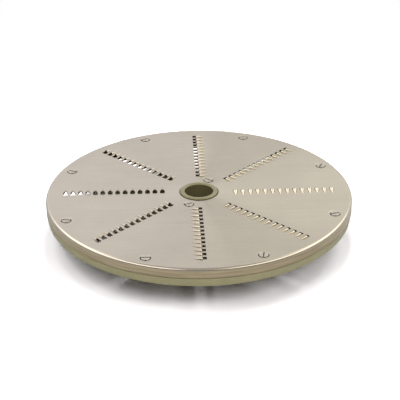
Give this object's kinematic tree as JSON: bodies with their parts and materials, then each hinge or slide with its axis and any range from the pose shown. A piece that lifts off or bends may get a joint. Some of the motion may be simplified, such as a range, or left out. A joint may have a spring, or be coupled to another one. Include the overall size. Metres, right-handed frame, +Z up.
{
  "type": "food processor shredding disc",
  "caption": "Round shredding disc of a vegetable cutter: a toothed steel plate with a bent edge, screwed to a spoked plastic carrier with a bored hub.",
  "frame": {"origin": "centre of the hub's flat foot, on the bore's axis", "axes": "+Z up the bore from the foot to the toothed face; +X along the middle of one row of teeth, a row of the set that starts nearer the hub; the disc turns counter-clockwise about +Z"},
  "size_m": [0.205, 0.205, 0.0332],
  "materials": {
    "plate_steel": "satin stainless sheet",
    "carrier_plastic": "olive moulded plastic",
    "screw_steel": "plain stainless"
  },
  "bodies": {
    "root": {"cutting_plate": "plate_steel", "carrier": "carrier_plastic", "rim_screws": "screw_steel", "hub_screws": "screw_steel"}
  },
  "joints": []
}
